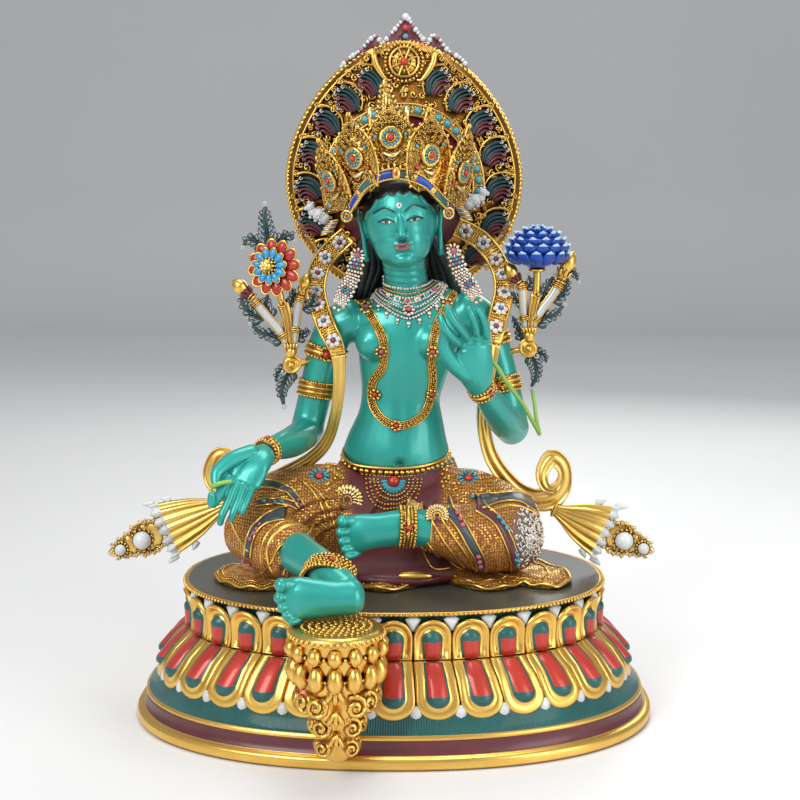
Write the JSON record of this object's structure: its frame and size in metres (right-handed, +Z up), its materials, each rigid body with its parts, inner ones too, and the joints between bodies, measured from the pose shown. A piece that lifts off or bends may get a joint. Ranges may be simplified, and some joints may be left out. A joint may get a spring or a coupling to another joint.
{
  "type": "seated tara figure",
  "caption": "Seated tara figure on an oval double-lotus throne, one foot on a small lotus footrest, with a five-leaf crown, roped halo, scarves and two flower sprays.",
  "frame": {"origin": "middle of the throne's flat underside, where its long and short axes cross", "axes": "+Z up, the figure faces -Y, +X is to the right of someone who looks at its face"},
  "size_m": [0.3786, 0.2994, 0.481],
  "materials": {
    "lotus_paint": "satin lacquer, coral petals edged in gold on dark teal",
    "green_skin": "pearlescent green paint, gilded and painted cloth",
    "gilding": "antiqued gilding with dark recesses",
    "halo_paint": "maroon lacquer with gilded relief",
    "silver_beads": "white silver set with small stones and pearls",
    "flower_enamel": "enamel colours in gilded edges",
    "stem_paint": "gloss green paint"
  },
  "bodies": {
    "root": {"throne": "lotus_paint", "footrest": "gilding", "figure": "green_skin", "aureole": "halo_paint", "crown": "gilding", "topknot_jewel": "gilding", "necklace": "silver_beads", "long_chain": "gilding", "belt": "gilding", "scarf_right": "gilding", "scarf_left": "gilding", "scarf_jewel_right": "silver_beads", "scarf_jewel_left": "silver_beads", "flower_spray": "flower_enamel", "lotus_spray": "flower_enamel", "armlet_right": "gilding", "armlet_upper_right": "gilding", "armlet_left": "gilding", "armlet_upper_left": "gilding", "bracelet_right": "gilding", "bracelet_left": "gilding", "anklet_right": "gilding", "anklet_left": "gilding", "earring_right": "silver_beads", "earring_left": "silver_beads", "stem_left": "stem_paint", "stem_right": "stem_paint"}
  },
  "joints": []
}
